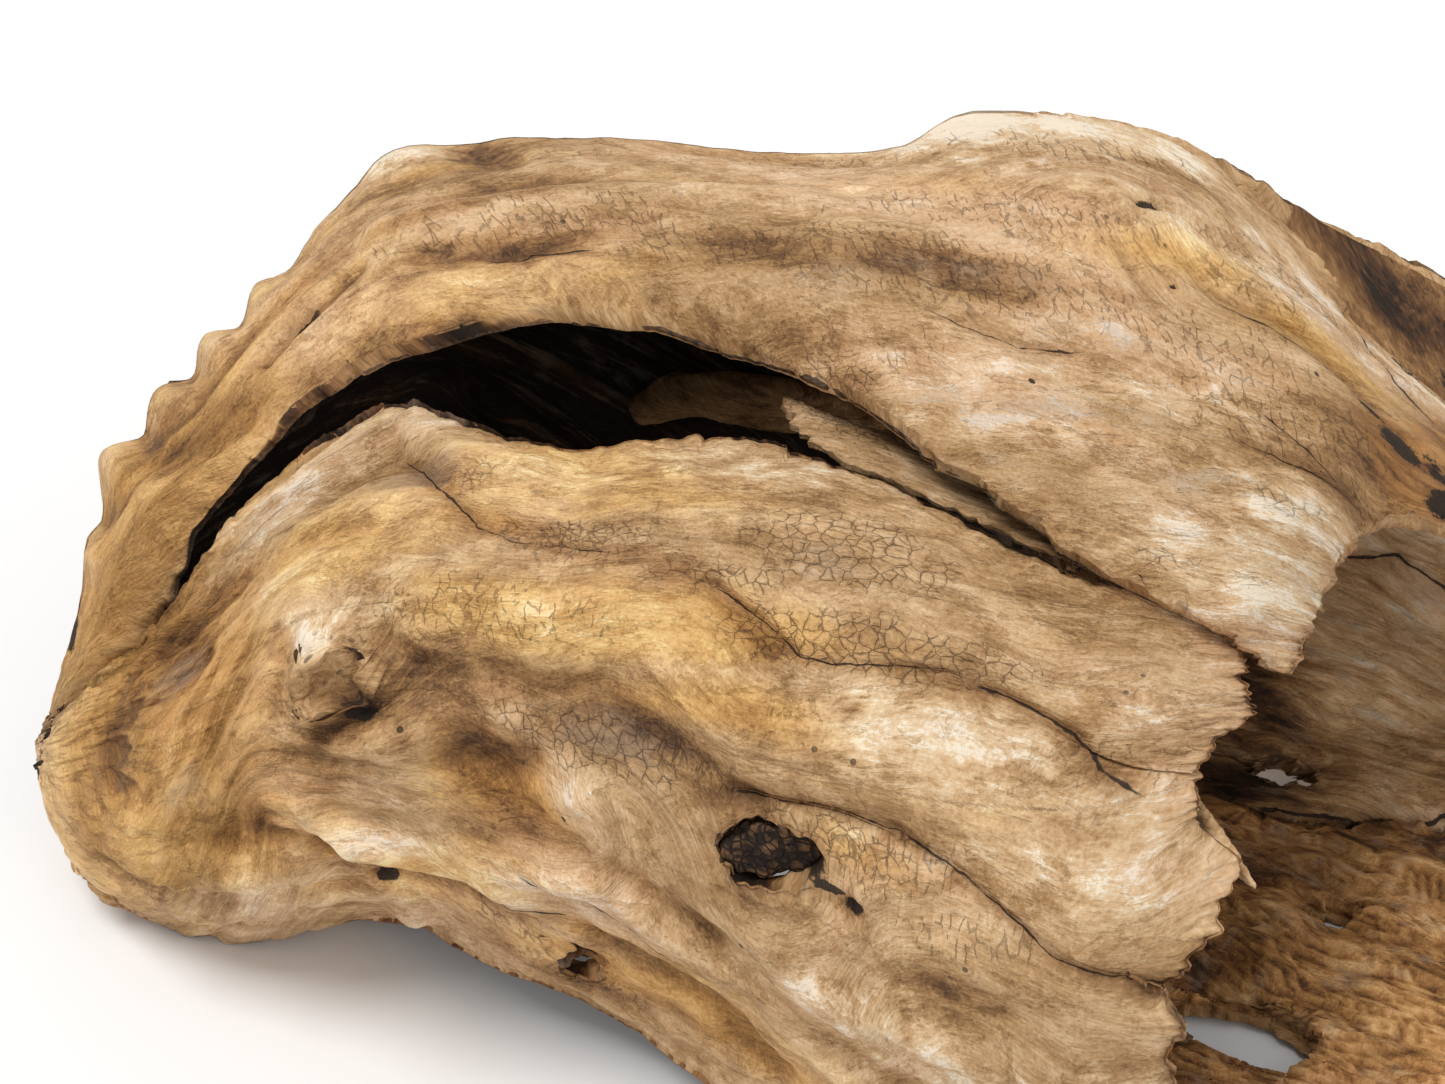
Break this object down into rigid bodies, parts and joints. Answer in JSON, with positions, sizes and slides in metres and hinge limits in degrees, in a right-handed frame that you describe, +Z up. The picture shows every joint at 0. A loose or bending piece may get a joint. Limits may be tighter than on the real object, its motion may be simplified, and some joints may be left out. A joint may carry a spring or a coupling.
{
  "type": "hollow driftwood piece",
  "caption": "Gnarled hollow driftwood shell with a long slit in its crown, split front walls, encased knots and a broken open end.",
  "frame": {"origin": "under the middle of the bounding box, on the ground that the wood rests on", "axes": "+X along the grain, towards the broken open end; +Y towards the back wall; +Z up"},
  "size_m": [0.513, 0.3238, 0.2149],
  "materials": {
    "crown_slab": "weathered, matt",
    "rear_plate": "weathered, matt, scorched-looking edge",
    "torn_strip": "torn, matt",
    "shoulder_plate": "weathered, matt",
    "belly_plate": "weathered, matt",
    "skirt_plate": "weathered, matt",
    "back_wall": "weathered outside, dark inside",
    "floor_shelf": "decayed, matt",
    "butt_base": "worn, matt",
    "butt_core": "worn, matt",
    "inner_rib": "weathered, matt",
    "splinter": "torn, matt",
    "fine_splinter": "torn, matt",
    "dead_knot": "dry, matt",
    "branch_stub": "weathered, matt",
    "hem_knot": "dry, matt"
  },
  "bodies": {
    "root": {"crown_slab": "crown_slab", "rear_plate": "rear_plate", "torn_strip": "torn_strip", "shoulder_plate": "shoulder_plate", "belly_plate": "belly_plate", "skirt_plate": "skirt_plate", "back_wall": "back_wall", "floor_shelf": "floor_shelf", "butt_base": "butt_base", "butt_core": "butt_core", "inner_rib": "inner_rib", "splinter": "splinter", "fine_splinter": "fine_splinter", "dead_knot": "dead_knot", "branch_stub": "branch_stub", "hem_knot": "hem_knot"}
  },
  "joints": []
}
